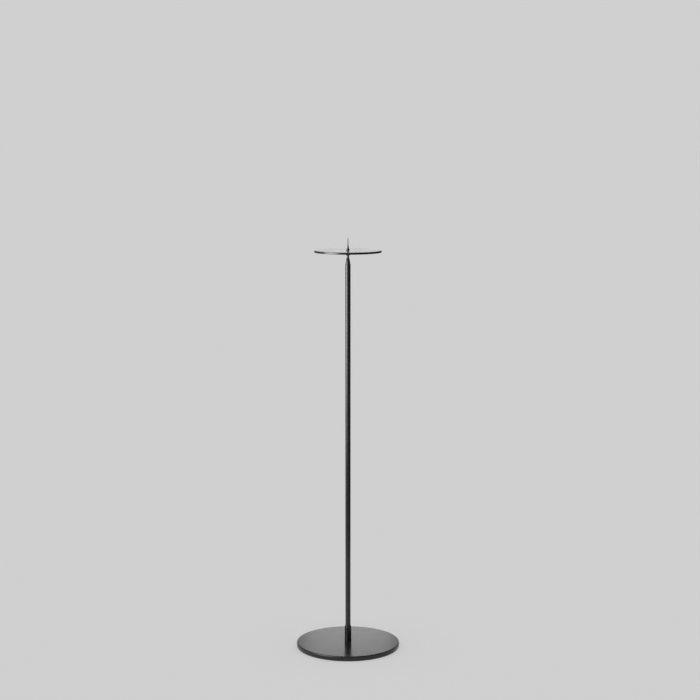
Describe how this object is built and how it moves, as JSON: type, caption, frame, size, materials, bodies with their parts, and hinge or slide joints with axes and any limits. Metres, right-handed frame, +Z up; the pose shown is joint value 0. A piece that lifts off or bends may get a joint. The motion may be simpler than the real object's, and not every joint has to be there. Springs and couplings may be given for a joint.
{
  "type": "pillar candle holder",
  "caption": "Slim floor-standing pricket holder for a pillar candle: heavy round base, straight tubular stem with a foot collar and tapered tip, flat round plate, fine spike.",
  "frame": {"origin": "centre of the underside, on the surface that the holder stands on, below the stem's axis", "axes": "+Z up the stem's axis towards the pricket; the holder is round about Z, so X and Y are free"},
  "size_m": [0.2, 0.2, 0.8],
  "materials": {
    "black_powder_coat": "satin black powder coat on steel, fine orange peel",
    "zinc_plated_steel": "bright zinc plate, turned",
    "mat_rubber": "matt black rubber with a fine moulded grain"
  },
  "bodies": {
    "root": {"anti_slip_mat": "mat_rubber", "base_disc": "black_powder_coat", "base_lock_washer": "zinc_plated_steel", "base_screw": "zinc_plated_steel", "stem_collar": "black_powder_coat", "stem_foot_plug": "zinc_plated_steel", "stem_tube": "black_powder_coat", "stem_tip": "black_powder_coat", "flange_nut": "black_powder_coat", "candle_plate": "black_powder_coat", "pricket_foot": "black_powder_coat", "pricket_needle": "black_powder_coat"}
  },
  "joints": []
}
